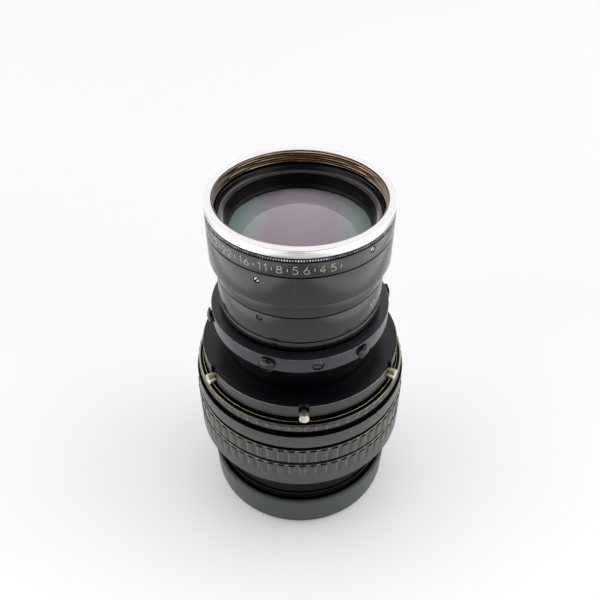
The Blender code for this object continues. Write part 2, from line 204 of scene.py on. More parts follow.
def soften(outline, size, steps=3):
    """Round the corners of a closed outline of (radius, height[, wear]); wear shows on the rounds."""
    corners = [tuple(corner) + (0.0,) * (3 - len(corner)) for corner in outline]
    soft = []
    for i, (radius, height, wear) in enumerate(corners):
        here = np.array((radius, height))
        back = np.array(corners[i - 1][:2]) - here
        ahead = np.array(corners[(i + 1) % len(corners)][:2]) - here
        if radius < 1e-6 or min(np.linalg.norm(back), np.linalg.norm(ahead)) < 1e-6:
            soft.append((radius, height, 0.0))
            continue
        start = here + back * min(size / np.linalg.norm(back), 0.4)
        stop = here + ahead * min(size / np.linalg.norm(ahead), 0.4)
        for k in range(steps + 1):
            t = k / steps
            point = (1 - t) ** 2 * start + 2 * t * (1 - t) * here + t * t * stop
            soft.append((point[0], point[1], wear * math.sin(math.pi * t)))
    return soft


def lathe(name, outline, angles=None, shape=None, rub_and_highlight=None, sides=ROUND_SIDES):
    """Turn an outline about Z.

    shape(theta, radius, height) may move the radii, as flutes and threads do, and
    rub_and_highlight(theta, radius, height) says where the surface is rubbed pale and where a highlight is
    painted on it.
    """
    rows = np.array([tuple(point) + (0.0,) * (3 - len(point)) for point in outline], float)
    theta = np.linspace(0, 2 * math.pi, sides, endpoint=False) if angles is None else np.asarray(angles)
    radius = np.tile(rows[:, 0], (len(theta), 1))
    height = np.tile(rows[:, 1], (len(theta), 1))
    if shape is not None:
        radius = shape(theta[:, None], radius, height)
    points = np.stack((radius * np.cos(theta)[:, None], radius * np.sin(theta)[:, None], height), -1)
    turns, count = radius.shape
    grid = np.arange(turns * count).reshape(turns, count)
    across = np.roll(grid, -1, axis=0)
    quads = np.stack((grid, across, np.roll(across, -1, axis=1), np.roll(grid, -1, axis=1)), -1)
    mesh = bpy.data.meshes.new(name)
    mesh.from_pydata(points.reshape(-1, 3).tolist(), [], quads.reshape(-1, 4).tolist())
    wear = mesh.attributes.new("wear", "FLOAT", "POINT")
    wear.data.foreach_set("value", np.tile(rows[:, 2], turns).astype(np.float32))
    if rub_and_highlight is not None:
        rub_and_highlight_marks = mesh.attributes.new("rub_and_highlight", "FLOAT", "POINT")
        rub_and_highlight_marks.data.foreach_set("value", rub_and_highlight(theta[:, None], radius, height).ravel().astype(np.float32))
    return finish_mesh(name, mesh)


def finish_mesh(name, mesh):
    """Clean a mesh, shade it smooth between its sharp edges and put it in the scene."""
    bm = bmesh.new()
    bm.from_mesh(mesh)
    bmesh.ops.remove_doubles(bm, verts=bm.verts, dist=1e-7)
    bmesh.ops.recalc_face_normals(bm, faces=bm.faces)
    bm.to_mesh(mesh)
    bm.free()
    mesh.shade_smooth()
    mesh.set_sharp_from_angle(angle=SHARP)
    return put(name, mesh)


def block(name, size, matrix):
    """A cutter in the shape of a box."""
    bm = bmesh.new()
    bmesh.ops.create_cube(bm, size=1.0, matrix=Matrix.Diagonal((*size, 1.0)))
    mesh = bpy.data.meshes.new(name)
    bm.to_mesh(mesh)
    bm.free()
    thing = finish_mesh(name, mesh)
    thing.matrix_world = matrix
    return thing


def rod(name, spoke, radius, start, stop):
    """A round cutter along a spoke, between two distances from the lens axis."""
    outline = [(0, 0), (radius, 0), (radius, stop - start), (0, stop - start)]
    thing = lathe(name, outline, sides=SMALL_SIDES)
    thing.matrix_world = spoke.place(start)
    return thing


def carve(thing, cutters):
    """Cut the cutters out of a piece for good."""
    for cutter in cutters:
        modifier = thing.modifiers.new(cutter.name, "BOOLEAN")
        modifier.operation = "DIFFERENCE"
        modifier.solver = "EXACT"
        modifier.object = cutter
    bpy.context.view_layer.update()
    graph = bpy.context.evaluated_depsgraph_get()
    carved = bpy.data.meshes.new_from_object(thing.evaluated_get(graph))
    thing.modifiers.clear()
    thing.data = carved
    carved.shade_smooth()
    carved.set_sharp_from_angle(angle=SHARP)
    for cutter in cutters:
        bpy.data.objects.remove(cutter)


def stand_for(thing, node, material, inside=None, inside_test=None):
    """Let a piece take a node's place, on its body; inside is a second finish."""
    thing.data.materials.clear()
    thing.data.materials.append(material)
    if inside is not None:
        thing.data.materials.append(inside)
        for face in thing.data.polygons:
            if inside_test(face.center):
                face.material_index = 1
    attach(thing, NODES[node]["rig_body"])
    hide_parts(node)


# ---------------- finishes

class Finish:
    """A Principled material, with short calls for the nodes that the finishes share."""

    def __init__(self, name, **constants):
        self.material = bpy.data.materials.new(name)
        self.material.use_nodes = True
        self.tree = self.material.node_tree
        self.shader = self.tree.nodes["Principled BSDF"]
        for socket, value in constants.items():
            self.shader.inputs[socket.replace("_", " ")].default_value = value
        self.place = self.node("TexCoord", output="Object")

    def node(self, kind, *values, output=0, **settings):
        """A new node's output; values go to its first sockets, and None leaves a socket alone."""
        made = self.tree.nodes.new("ShaderNode" + kind)
        for key, value in settings.items():
            setattr(made, key, value)
        for socket, value in zip(made.inputs, values):
            self.feed(socket, value)
        return made.outputs[output]

    def feed(self, socket, value):
        if value is None:
            return
        if isinstance(value, bpy.types.NodeSocket):
            self.tree.links.new(value, socket)
        else:
            socket.default_value = value

    def math(self, operation, a, b=None):
        return self.node("Math", a, b, operation=operation)

    def plus(self, a, b):
        return self.math("ADD", a, b)

    def times(self, a, b):
        return self.math("MULTIPLY", a, b)

    def axes(self):
        """The x, y and z of the place that is shaded."""
        return self.node("SeparateXYZ", self.place).node.outputs

    def painted(self, attribute):
        """One of the attributes that lathe puts on the points: wear, or rub_and_highlight for rubbed marks
        and painted highlights.
        """
        return self.node("Attribute", output="Fac", attribute_name=attribute)

    def turned_place(self, along, round_it):
        """Coordinates that follow a turned surface: close lines across it, long ones round it."""
        x, y, z = self.axes()
        square = self.plus(self.times(x, x), self.times(y, y))
        slant = self.plus(z, self.math("SQRT", square))
        ways = [self.times(part, scale)
                for part, scale in ((x, round_it), (y, round_it), (slant, along))]
        return self.node("CombineXYZ", *ways)

    def noise(self, scale, place=None, detail=3.0, rough=0.55):
        return self.node("TexNoise", place or self.place, None, scale, detail, rough)

    def ramp(self, value, low, high, to_low=0.0, to_high=1.0):
        return self.node("MapRange", value, low, high, to_low, to_high, clamp=True)

    def mix(self, share, a, b):
        """Mix two colours, which are the node's seventh and eighth sockets."""
        return self.node("Mix", share, *[None] * 5, a, b, output=2, data_type="RGBA")

    def wear(self, low=0.35, high=0.75, scale=900.0):
        """How far an edge is worn bare: the outline's own wear, broken up by noise."""
        patch = self.plus(self.noise(scale, detail=4.0), 0.45)
        return self.ramp(self.times(self.painted("wear"), patch), low, high)

    def bump(self, height, distance):
        return self.node("Bump", 1.0, distance, None, height, output="Normal")

    def set(self, **sockets):
        for socket, value in sockets.items():
            self.feed(self.shader.inputs[socket.replace("_", " ")], value)
        return self.material


def rgb(red, green, blue):
    return (red, green, blue, 1.0)


def shaded(colour, share):
    """The colour, made darker or lighter."""
    return rgb(*[part * share for part in colour[:3]])


def turned_black(name, colour, roughness, worn, level=0.5):
    """Black finish over turned metal: fine lathe lines, faint mottling, dust, scratches, bare edges."""
    f = Finish(name, IOR=1.58, Specular_IOR_Level=level)
    lathe_lines = f.noise(1.0, f.turned_place(5200.0, 60.0), detail=2.0)
    mottle = f.noise(140.0, detail=5.0, rough=0.65)
    haze = f.noise(28.0, detail=3.0)
    dust = f.ramp(f.noise(2600.0, detail=1.0, rough=0.4), 0.79, 0.83)
    long_way = f.node("Mapping", f.place, None, (0.0, 0.5, 0.1), (1900.0, 1900.0, 42.0))
    scratch = f.ramp(f.noise(1.0, long_way, detail=1.0, rough=0.3), 0.785, 0.82)
    shade = f.mix(f.ramp(mottle, 0.3, 0.7), shaded(colour, 0.75), shaded(colour, 1.25))
    marks = f.math("MAXIMUM", f.times(dust, 0.18), f.times(scratch, 0.08))
    shade = f.mix(marks, shade, rgb(0.30, 0.29, 0.27))
    bare = f.wear()
    shade = f.mix(bare, shade, worn)
    dull = f.plus(f.ramp(haze, 0.3, 0.7, -0.04, 0.04), f.ramp(lathe_lines, 0.3, 0.7, -0.04, 0.05))
    return f.set(Base_Color=shade, Roughness=f.plus(dull, roughness), Metallic=bare,
                 Normal=f.bump(lathe_lines, 0.005 * MM))


def knurled_black(name, colour, crest):
    """Black knurling whose crests are pale, partly from wear and partly as a painted glint."""
    f = Finish(name, IOR=1.58)
    patch = f.noise(420.0, detail=4.0, rough=0.6)
    # The pale crests are partly wear and partly a painted glint.
    crest_highlight = f.times(f.painted("rub_and_highlight"), f.ramp(patch, 0.38, 0.62, 0.1, 1.0))
    return f.set(Base_Color=f.mix(crest_highlight, colour, crest), Metallic=f.times(crest_highlight, 0.7),
                 Roughness=f.ramp(patch, 0.3, 0.7, 0.16, 0.26), Normal=f.bump(patch, 0.004 * MM))


def satin_grip(name, colour, worn, pad_highlight):
    """Grey-black finish with a sandy grain, a painted highlight along the outward edge of each pad, and worn
    to brass on its edges.
    """
    f = Finish(name, IOR=1.6, Specular_IOR_Level=0.38)
    sand = f.noise(5200.0, detail=3.0, rough=0.6)
    mottle = f.noise(180.0, detail=5.0, rough=0.6)
    shade = f.mix(f.ramp(mottle, 0.3, 0.7), shaded(colour, 0.85), shaded(colour, 1.15))
    patchy = f.ramp(f.noise(500.0, detail=3.0), 0.35, 0.6, 0.35, 0.8)
    # Painted highlight: the outward pad edges take a paler colour.
    shade = f.mix(f.times(f.painted("rub_and_highlight"), patchy), shade, pad_highlight)
    bare = f.wear(0.42, 0.78, 700.0)
    shade = f.mix(bare, shade, worn)
    rough = f.plus(f.ramp(mottle, 0.3, 0.7, 0.28, 0.38), f.ramp(sand, 0.3, 0.7, -0.03, 0.05))
    return f.set(Base_Color=shade, Roughness=rough, Metallic=bare, Normal=f.bump(sand, 0.01 * MM))


def bright_metal(name, colour, roughness, grain, tarnish_and_side_shade, tarnish_at, nicks=0.0, lines=0.92):
    """Bare or plated metal with lathe lines, tarnished patches and a few nicks."""
    f = Finish(name, Metallic=1.0)
    lathe_lines = f.noise(1.0, f.turned_place(grain, 90.0), detail=3.0)
    patch = f.ramp(f.noise(320.0, detail=6.0, rough=0.7), *tarnish_at)
    shade = f.mix(f.ramp(lathe_lines, 0.3, 0.7), shaded(colour, lines), colour)
    shade = f.mix(patch, shade, tarnish_and_side_shade)
    nick = f.ramp(f.noise(900.0, detail=2.0, rough=0.5), 0.70, 0.76)
    nick = f.times(f.times(nick, f.painted("wear")), nicks)
    shade = f.mix(nick, shade, rgb(0.16, 0.15, 0.15))
    dull = f.plus(f.times(patch, 0.15), roughness)
    rough = f.plus(f.ramp(lathe_lines, 0.3, 0.7, -0.05, 0.07), dull)
    height = f.math("SUBTRACT", lathe_lines, f.times(nick, 4.0))
    return f.set(Base_Color=shade, Roughness=rough, Normal=f.bump(height, 0.006 * MM))


def thread_metal(name, crest, root):
    """Bare brass thread with pale crests as a painted highlight, brown roots as painted shade, and painted
    shade darkening it towards the sides.
    """
    f = Finish(name, Metallic=1.0)
    patch = f.noise(260.0, detail=4.0, rough=0.6)
    # Crests painted as lit brass and roots painted dark as shade.
    shade = f.mix(f.painted("rub_and_highlight"), root, crest)
    shade = f.mix(f.ramp(patch, 0.35, 0.7, 0.0, 0.35), shade, root)
    x = f.axes()[0]
    green = f.ramp(x, -24 * MM, -8 * MM, 0.75, 0.0)
    shade = f.mix(green, shade, rgb(0.10, 0.10, 0.07))
    # Painted shade: darker towards the left and right of the view.
    tarnish_and_side_shade = f.ramp(f.math("ABSOLUTE", x), 9 * MM, 25 * MM, 0.0, 0.62)
    shade = f.mix(tarnish_and_side_shade, shade, rgb(0.075, 0.068, 0.064))
    grain = f.noise(1.0, f.turned_place(9000.0, 120.0), detail=1.0)
    return f.set(Base_Color=shade, Roughness=f.ramp(patch, 0.3, 0.7, 0.24, 0.34),
                 Normal=f.bump(grain, 0.002 * MM))


def moulded_plastic(name, colour):
    """Grained plastic with faint flow marks and scuffs round it."""
    f = Finish(name, IOR=1.49, Specular_IOR_Level=0.22)
    grain = f.noise(3800.0, detail=3.0, rough=0.6)
    swirl = f.noise(35.0, detail=4.0, rough=0.6)
    scuffs = f.ramp(f.noise(1.0, f.turned_place(900.0, 40.0), detail=4.0), 0.60, 0.80)
    shade = f.mix(f.ramp(swirl, 0.3, 0.7), shaded(colour, 0.88), shaded(colour, 1.12))
    shade = f.mix(f.times(scuffs, 0.2), shade, shaded(colour, 2.2))
    rough = f.plus(f.ramp(swirl, 0.3, 0.7, 0.34, 0.42), f.times(scuffs, 0.12))
    return f.set(Base_Color=shade, Roughness=rough, Normal=f.bump(grain, 0.01 * MM))


def coated_glass(name, middle, side, clear):
    """Lens glass whose painted coating reflection shows one colour near the middle and another towards the
    left and right sides.
    """
    f = Finish(name, Roughness=0.0, IOR=1.5, Transmission_Weight=clear)
    smear = f.noise(90.0, detail=5.0, rough=0.7)
    across = f.plus(f.math("ABSOLUTE", f.axes()[0]), f.ramp(smear, 0.3, 0.7, -2 * MM, 2 * MM))
    # Painted reflection: the coating's colour changes with distance from the middle of the view.
    painted_coating_tint = f.mix(f.ramp(across, 0.42 * COAT_REACH, 0.90 * COAT_REACH), middle, side)
    painted_coating_tint = f.mix(f.ramp(smear, 0.3, 0.7, 0.0, 0.10), painted_coating_tint, rgb(0.9, 0.9, 0.9))
    speck = f.ramp(f.noise(1500.0, detail=1.0, rough=0.4), 0.795, 0.81)
    return f.set(Base_Color=f.mix(speck, painted_coating_tint, rgb(1.0, 1.0, 1.0)))


def brushed_blade(name):
    """Dark steel with fine scratches and thin oil."""
    f = Finish(name, Metallic=0.9)
    scratch = f.noise(1.0, f.turned_place(2400.0, 500.0), detail=5.0, rough=0.7)
    oil = f.noise(220.0, detail=3.0)
    shade = f.mix(f.ramp(oil, 0.35, 0.7), rgb(0.035, 0.035, 0.04), rgb(0.09, 0.088, 0.09))
    return f.set(Base_Color=shade, Roughness=f.ramp(scratch, 0.3, 0.7, 0.32, 0.52),
                 Normal=f.bump(scratch, 0.003 * MM))


def engraving_fill(name):
    """Old cream paint in an engraved line."""
    f = Finish(name, Roughness=0.6)
    age = f.noise(1400.0, detail=4.0, rough=0.7)
    return f.set(Base_Color=f.mix(f.ramp(age, 0.3, 0.75), rgb(0.34, 0.30, 0.21), rgb(0.66, 0.62, 0.50)),
                 Normal=f.bump(age, 0.02 * MM))


def black_finishes():
    """The black parts' finishes: name, colour, roughness, colour of worn edges and level of shine."""
    pale = rgb(0.50, 0.50, 0.49)
    brass = rgb(0.46, 0.37, 0.22)
    rows = {
        "barrel": ("barrel_black", rgb(0.0026, 0.0027, 0.0042), 0.18, pale, 0.34),
        "clamp": ("clamp_black", rgb(0.0160, 0.0195, 0.0260), 0.22, pale, 0.32),
        # screw: the pale worn rim is partly wear and partly a painted highlight.
        "screw": ("screw_black", rgb(0.0035, 0.0035, 0.0042), 0.10, rgb(0.70, 0.73, 0.76), 0.28),
        "set_screw": ("set_screw_black", rgb(0.012, 0.010, 0.010), 0.20, rgb(0.40, 0.24, 0.18), 0.4),
        "drive": ("drive_screw_black", rgb(0.012, 0.010, 0.009), 0.22, rgb(0.62, 0.44, 0.24), 0.5),
        "matt": ("matt_black", rgb(0.0010, 0.0010, 0.0042), 0.36, pale, 0.26),
        "rim": ("flange_rim", rgb(0.011, 0.011, 0.012), 0.30, rgb(0.36, 0.37, 0.35), 0.42),
        # groove: painted shade for screw slots, the grip's groove and ring insides; the grip's chamfers use
        # it too.
        "groove": ("groove_black", rgb(0.0008, 0.0008, 0.0020), 0.40, brass, 0.04),
        "inside": ("inside_black", rgb(0.0034, 0.0024, 0.0048), 0.24, rgb(0.20, 0.17, 0.20), 0.28),
        "mount": ("mount_black", rgb(0.0007, 0.0007, 0.0019), 0.26, rgb(0.10, 0.08, 0.05), 0.035),
        "sleeve": ("sleeve_black", rgb(0.0011, 0.0011, 0.0016), 0.34, rgb(0.66, 0.54, 0.33), 0.05),
        "ledge": ("ledge_grey", rgb(0.026, 0.022, 0.026), 0.22, rgb(0.34, 0.29, 0.33), 0.9),
    }
    return {key: turned_black(*row) for key, row in rows.items()}


def metal_finishes():
    """The metal parts' finishes: name, colour, roughness, grain, tarnished colour and where tarnishing sets
    in.
    """
    rows = {
        "brass": ("old_brass", rgb(0.52, 0.36, 0.17), 0.30, 3600.0, rgb(0.20, 0.13, 0.06), (0.48, 0.74)),
        "nickel": ("pin_side", rgb(0.50, 0.49, 0.31), 0.34, 5200.0, rgb(0.22, 0.22, 0.11), (0.46, 0.70)),
        "pin_end": ("pin_end", rgb(0.72, 0.66, 0.60), 0.30, 9000.0, rgb(0.42, 0.37, 0.32), (0.44, 0.62)),
        "steel": ("screw_steel", rgb(0.36, 0.355, 0.34), 0.26, 6200.0, rgb(0.26, 0.20, 0.16), (0.58, 0.76)),
    }
    made = {key: bright_metal(*row) for key, row in rows.items()}
    made["chrome"] = bright_metal("front_chrome", rgb(0.85, 0.837, 0.837), 0.14, 5200.0,
                                  rgb(0.74, 0.72, 0.72), (0.62, 0.80), nicks=1.0)
    # A darker, rougher copy of the chrome for the ring's outer wall, as painted shade.
    made["chrome_side"] = bright_metal("chrome_side", rgb(0.60, 0.60, 0.60), 0.26, 2400.0,
                                       rgb(0.46, 0.45, 0.44), (0.58, 0.78), lines=0.55)
    # The thread's crest colour is a painted highlight and its root colour is painted shade.
    made["thread"] = thread_metal("thread_brass", rgb(0.76, 0.52, 0.32), rgb(0.070, 0.044, 0.028))
    return made


def make_finishes():
    return black_finishes() | metal_finishes() | {
        # knurl: the crest colour is partly wear and partly a painted glint.
        "knurl": knurled_black("knurl_black", rgb(0.0030, 0.0042, 0.0038), rgb(0.58, 0.64, 0.60)),
        # grip: its last colour is a painted highlight on the outward pad edges.
        "grip": satin_grip("grip_grey", rgb(0.0285, 0.0298, 0.0290), rgb(0.43, 0.395, 0.25),
                           rgb(0.32, 0.32, 0.31)),
        "blade": brushed_blade("blade_steel"),
        "cap": moulded_plastic("cap_plastic", rgb(0.060, 0.069, 0.071)),
        # glass: the two colours are painted coating reflections, for the middle and for the sides.
        "glass": coated_glass("front_glass", rgb(0.66, 0.55, 0.65), rgb(0.74, 0.98, 0.91), 0.60),
        "inner_glass": coated_glass("inner_glass", rgb(0.92, 0.88, 0.86), rgb(0.84, 0.94, 0.88), 0.94),
        "paint": engraving_fill("engraving_cream"),
    }


# ---------------- engraved numerals

def bow(centre_x, centre_y, radius_x, radius_y, start, stop, count=14):
    """Points along part of an ellipse, in a cell one unit high."""
    turns = [math.radians(angle) for angle in span(start, stop, count)]
    return [(centre_x + radius_x * math.cos(t), centre_y + radius_y * math.sin(t)) for t in turns]


GLYPHS = {
    "0": [bow(0.3, 0.5, 0.3, 0.5, 90, 450, 24)],
    "1": [[(0.10, 0.78), (0.34, 1.0), (0.34, 0.0)]],
    "2": [bow(0.3, 0.71, 0.28, 0.29, 165, -38) + [(0.03, 0.0), (0.60, 0.0)]],
    "3": [bow(0.28, 0.75, 0.25, 0.25, 150, -80) + bow(0.28, 0.25, 0.31, 0.25, 80, -150)],
    "4": [[(0.44, 0.0), (0.44, 1.0), (0.0, 0.30), (0.62, 0.30)]],
    "5": [[(0.54, 1.0), (0.12, 1.0), (0.07, 0.57)] + bow(0.28, 0.32, 0.31, 0.32, 125, -150)],
    "6": [[(0.46, 1.0), (0.08, 0.46)] + bow(0.3, 0.29, 0.3, 0.29, 145, -215, 22)],
    "8": [bow(0.3, 0.75, 0.24, 0.25, 90, 450, 20), bow(0.3, 0.25, 0.3, 0.25, 90, 450, 20)],
    ".": [[(0.06, 0.0), (0.06, 0.07)]],
    "|": [[(0.0, 0.0), (0.0, 1.0)]],
}
ADVANCE = {".": 0.34, "1": 0.74, "|": 0.2}


def text_strokes(text, height):
    """Polylines of a line of numerals, centred on x = 0."""
    strokes = []
    pen = 0.0
    for mark in text:
        for line in GLYPHS[mark]:
            strokes.append([((pen + x) * height, y * height) for x, y in line])
        pen += ADVANCE.get(mark, 0.92)
    middle = (pen - 0.32) * height / 2
    return [[(x - middle, y) for x, y in line] for line in strokes]


def ribbon(line, half):
    """Left and right edges of a polyline, mitred."""
    points = np.array(line)
    ways = np.diff(points, axis=0)
    ways /= np.linalg.norm(ways, axis=1)[:, None]
    closed = np.linalg.norm(points[0] - points[-1]) < 1e-7
    before = np.vstack((ways[-1:] if closed else ways[:1], ways))
    after = np.vstack((ways, ways[:1] if closed else ways[-1:]))
    mid = before + after
    mid /= np.linalg.norm(mid, axis=1)[:, None]
    normal = np.stack((-mid[:, 1], mid[:, 0]), -1)
    stretch = 1 / np.clip(np.abs((mid * after).sum(1)), 0.5, 1.0)
    offset = normal * half * stretch[:, None]
    return points - offset, points + offset


def engrave(name, radius, body, marks, material):
    """Marks are (strokes, azimuth, height); they lie on a cylinder as thin bands of paint."""
    points = []
    faces = []
    proud = radius + 0.02 * MM
    sunk = radius - 0.03 * MM
    for strokes, azimuth, height in marks:
        base = math.radians(azimuth - 90)
        for line in strokes:
            left, right = ribbon(line, STROKE / 2)
            first = len(points)
            for a, b in zip(left, right):
                for (u, v), r in ((a, sunk), (a, proud), (b, proud), (b, sunk)):
                    angle = base + u / radius
                    points.append((r * math.cos(angle), r * math.sin(angle), height + v))
            for i in range(len(left) - 1):
                for j in range(4):
                    k = first + 4 * i
                    faces.append((k + j, k + (j + 1) % 4, k + 4 + (j + 1) % 4, k + 4 + j))
            last = first + 4 * (len(left) - 1)
            faces.append((first, first + 1, first + 2, first + 3))
            faces.append((last + 3, last + 2, last + 1, last))
    mesh = bpy.data.meshes.new(name)
    mesh.from_pydata(points, [], faces)
    thing = finish_mesh(name, mesh)
    thing.data.materials.append(material)
    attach(thing, body)


# ---------------- shapes that repeat round a ring

def flute_angles():
    """Angles at which a fluted ring needs points: on each pad, down each wall and along each valley."""
    pad = [0.0, 0.05, 0.5 * FLUTE_PAD, FLUTE_PAD - 0.05]
    down = [FLUTE_PAD + share * FLUTE_WALL for share in (0.0, 0.25, 0.5, 0.75, 1.0)]
    up = [1 - share * FLUTE_WALL for share in (1.0, 0.75, 0.5, 0.25)]
    shares = pad + down + [(down[-1] + up[0]) / 2] + up
    step = 2 * math.pi / FLUTES
    return [step * (i + share) for i in range(FLUTES) for share in shares]


def flute_phase(theta):
    """How far along its flute's step an angle is, from 0 to 1."""
    return np.mod(theta * FLUTES / (2 * math.pi) + 1e-6, 1.0)


def flute_share(theta):
    """0 on a pad and 1 in a valley, with an eased wall between them."""
    phase = flute_phase(theta)
    down = np.clip((phase - FLUTE_PAD) / FLUTE_WALL, 0, 1)
    up = np.clip((phase - (1 - FLUTE_WALL)) / FLUTE_WALL, 0, 1)
    return down * down * (3 - 2 * down) - up * up * (3 - 2 * up)


def pad_edge_highlights(rim, low, high):
    """A painted highlight along the outward edge of every pad of a fluted rim, between two heights."""
    def rub_and_highlight(theta, radius, height):
        phase = flute_phase(theta)
        edge = np.where(np.cos(theta) > 0, abs(phase - FLUTE_PAD) < 0.01, phase < 0.01)
        return 0.8 * edge * (radius > rim - MM) * (height > low) * (height < high)
    return rub_and_highlight


def fluted(rim, depth, stretches):
    """Shape for flutes in a rim: in each stretch they are deepest at the top and run out downwards."""
    def shape(theta, radius, height):
        inside = 0
        for low, high in stretches:
            inside = inside + np.clip((height - low) / (high - low), 0, 1) ** 0.6 * (height < high)
        return np.minimum(radius, rim - depth * flute_share(theta) * inside)
    return shape


def chamfer(rim, high, size):
    """Outline of a bevel up to a worn corner, from the rim inwards."""
    bevel = [(rim - share * size, high - (1 - share) * size) for share in span(0, 0.7, 5)]
    return bevel + [(rim - 0.8 * size, high - 0.2 * size, 1.0), (rim - size, high, 1.0),
                    (rim - size - 0.22 * MM, high, 0.7), (rim - size - 0.38 * MM, high)]


# ---------------- the rear of the lens

def make_cap(f):
    """Moulded rear cap with a shallow dish under it."""
    cap = Turned("rear_cap")
    levels = cap.levels()
    base_r = cap.at(levels[1])[1]
    inside = cap.at(cap.high)[0]
    floor = levels[2]
    low, high = cap.low, cap.high
    dish = 22 * MM
    outline = [(0, low + 0.4 * MM), (dish, low + 0.4 * MM), (dish + 0.6 * MM, low), (base_r - 1.4 * MM, low),
               (base_r, low + 1.3 * MM), (cap.outer, high - 0.9 * MM), (cap.outer - 0.5 * MM, high, 0.5),
               (inside + 0.3 * MM, high), (inside, high - 0.6 * MM), (inside, floor), (0, floor)]
    stand_for(lathe("rear_cap_moulding", soften(outline, 0.45 * MM, 4)), "rear_cap", f["cap"])


def make_mount(f):
    """Threaded stub at the rear, under a lip."""
    ring = Turned("rear_mount_ring")
    lip_low = ring.levels()[1]
    crest = ring.at(ring.low)[1]
    root = crest - 0.35 * MM
    turns = 9
    pitch = (lip_low - ring.low) / (turns + 2)
    outline = [(ring.inner, ring.low), (crest - 0.3 * MM, ring.low)]
    for i in range(turns):
        foot = ring.low + pitch * (i + 1)
        outline += [(root, foot), (crest, foot + 0.3 * pitch), (crest, foot + 0.55 * pitch)]
    outline += [(root, lip_low - pitch), (root, lip_low), (ring.outer, lip_low, 0.6),
                (ring.outer, ring.high, 1.0), (ring.outer - 1.2 * MM, ring.high), (ring.inner, ring.high)]
    stand_for(lathe("rear_mount_stub", soften(outline, 0.12 * MM, 2)), "rear_mount_ring", f["mount"])


def make_fixed_barrel(f):
    """Fixed tube with a neck, a bearing flange and a guide."""
    barrel = Turned("fixed_barrel")
    levels = barrel.levels()
    low, neck_low, neck_high = levels[:3]
    bearing_low, bearing_high, top = levels[-3:]
    body_r = barrel.at(low)[1]
    neck_r = barrel.at(neck_high)[1]
    guide_r = barrel.at(top)[1]
    bore, flange_r = barrel.inner, barrel.outer
    outline = [(bore, low), (body_r, low, 0.5), (body_r, neck_low), (neck_r, neck_high),
               (neck_r, bearing_low), (flange_r, bearing_low), (flange_r, bearing_high),
               (guide_r, bearing_high), (guide_r, top), (bore, top)]
    stand_for(lathe("fixed_barrel_tube", soften(outline, 0.2 * MM)), "fixed_barrel", f["mount"])


def make_focus_grip(f):
    """Grip with two rows of flutes and a smooth groove between them."""
    grip = Turned("focus_grip")
    low, groove_low, groove_in, groove_out, groove_high, high = grip.levels()
    bore, rim = grip.inner, grip.outer
    groove_r = grip.at(groove_in)[1]
    fade_low = low + 0.28 * (high - low)
    bevel = 0.50 * MM
    row_top = groove_low - 0.55 * MM
    row_low = groove_high + 0.2 * MM
    outline = [(bore, low), (rim - 0.5 * MM, low), (rim, low + 0.5 * MM)]
    outline += [(rim, z) for z in span(fade_low - 1 * MM, row_top - bevel - 0.1 * MM, 12)]
    outline += chamfer(rim, row_top, bevel)
    outline += [(groove_r, row_top + 0.2 * MM), (groove_r, groove_out), (rim - 0.12 * MM, groove_high)]
    outline += [(rim, z) for z in span(row_low, high - bevel - 0.1 * MM, 6)]
    outline += chamfer(rim, high, bevel) + [(bore, high)]
    flutes = fluted(rim, FLUTE_DEPTH, [(fade_low, row_top + 0.01 * MM), (row_low, high + 0.01 * MM)])
    rub_and_highlight_marks = pad_edge_highlights(rim, fade_low + 1 * MM, high - bevel)
    thing = lathe("focus_grip_fluted", outline, flute_angles(), flutes, rub_and_highlight_marks)

    # Faces that take the groove finish: the groove and bore as painted shade, and the chamfers.
    def dark(centre):
        radius = off_axis(centre)
        top = high if centre.z > groove_high else row_top
        return radius < rim - 0.85 * MM or radius > rim - (centre.z - (top - bevel)) - 0.03 * MM

    stand_for(thing, "focus_grip", f["grip"], f["groove"], dark)


def make_focus_band(f):
    """Smooth band between two lower lips."""
    band = Turned("focus_band")
    bore = Turned("focus_grip").inner
    z0, z1, z2, z3 = band.levels()
    lip = band.at(z0)[1]
    outline = [(bore, z0), (lip, z0), (lip, z1), (band.outer, z1), (band.outer, z2, 0.6), (lip, z2),
               (lip, z3), (bore, z3)]
    thing = lathe("focus_band_smooth", soften(outline, 0.14 * MM, 4))
    # The inner lips take the groove finish as painted shade.
    stand_for(thing, "focus_band", f["grip"], f["groove"], lambda c: off_axis(c) < band.outer - 0.3 * MM)


def make_focus_front(f):
    """Narrow ring with shallow flutes."""
    front = Turned("focus_front_ring")
    rim, low, high = front.outer, front.low, front.high
    outline = [(front.inner, low), (rim - 0.4 * MM, low), (rim - 0.1 * MM, low + 0.15 * MM),
               (rim, low + 0.4 * MM)]
    outline += chamfer(rim, high, 0.45 * MM) + [(front.inner, high)]
    flutes = fluted(rim, FRONT_FLUTE_DEPTH, [(low - 2 * MM, high + 0.01 * MM)])
    rub_and_highlight_marks = pad_edge_highlights(rim, low, high - 0.3 * MM)
    thing = lathe("focus_front_ring_fluted", outline, flute_angles(), flutes, rub_and_highlight_marks)
    # The inside takes the groove finish as painted shade.
    stand_for(thing, "focus_front_ring", f["grip"], f["groove"], lambda c: off_axis(c) < rim - 0.8 * MM)


def make_focus_sleeve(f):
    """Brass sleeve with a thin bright edge, and the ring that keeps it."""
    sleeve = Turned("brass_focus_sleeve")
    top, sunk = sleeve.high, sleeve.high - 0.25 * MM
    outline = [(sleeve.inner, sleeve.low), (sleeve.outer, sleeve.low), (sleeve.outer, top, 1.0),
               (sleeve.outer - 0.26 * MM, top), (sleeve.outer - 0.30 * MM, sunk), (sleeve.inner, sunk)]
    stand_for(lathe("focus_sleeve_turned", soften(outline, 0.1 * MM)), "brass_focus_sleeve", f["sleeve"])
    plain_ring("focus_retaining_ring", "focus_retaining_turned", f["mount"], 0.2 * MM)


